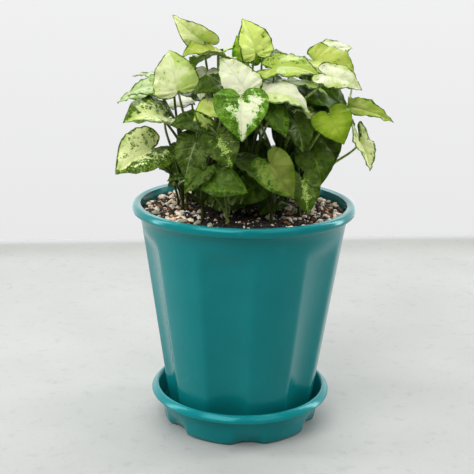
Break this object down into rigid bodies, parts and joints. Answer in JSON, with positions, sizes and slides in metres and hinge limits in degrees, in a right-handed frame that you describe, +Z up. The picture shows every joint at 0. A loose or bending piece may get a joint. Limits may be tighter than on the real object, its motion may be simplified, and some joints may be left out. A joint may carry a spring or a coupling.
{
  "type": "potted syngonium",
  "caption": "Bushy arrowhead vine with cream and green leaves, growing in a tapered fluted plastic pot that stands in a matching round saucer.",
  "frame": {"origin": "centre of the saucer's flat underside, on the pot's axis", "axes": "+Z up along the pot's axis, -Y towards the front of the plant as the picture shows it, +X to the picture's right"},
  "size_m": [0.1591, 0.13, 0.24],
  "materials": {
    "pot_plastic": "satin moulded polypropylene, teal",
    "saucer_plastic": "satin moulded polypropylene, teal",
    "soil": "loose matt potting mix with pale grains and bark",
    "foliage": "satin living leaf, cream and yellow-green with dark green margins and speckles"
  },
  "bodies": {
    "root": {"pot": "pot_plastic", "saucer": "saucer_plastic", "soil": "soil", "stem_left": "foliage", "stem_left_back": "foliage", "stem_left_front": "foliage", "stem_front": "foliage", "stem_middle_left": "foliage", "stem_middle": "foliage", "stem_middle_back": "foliage", "stem_front_right": "foliage", "stem_middle_right": "foliage", "stem_right_front": "foliage", "stem_right": "foliage", "stem_right_back": "foliage", "stem_back_left": "foliage", "stem_back": "foliage"}
  },
  "joints": []
}
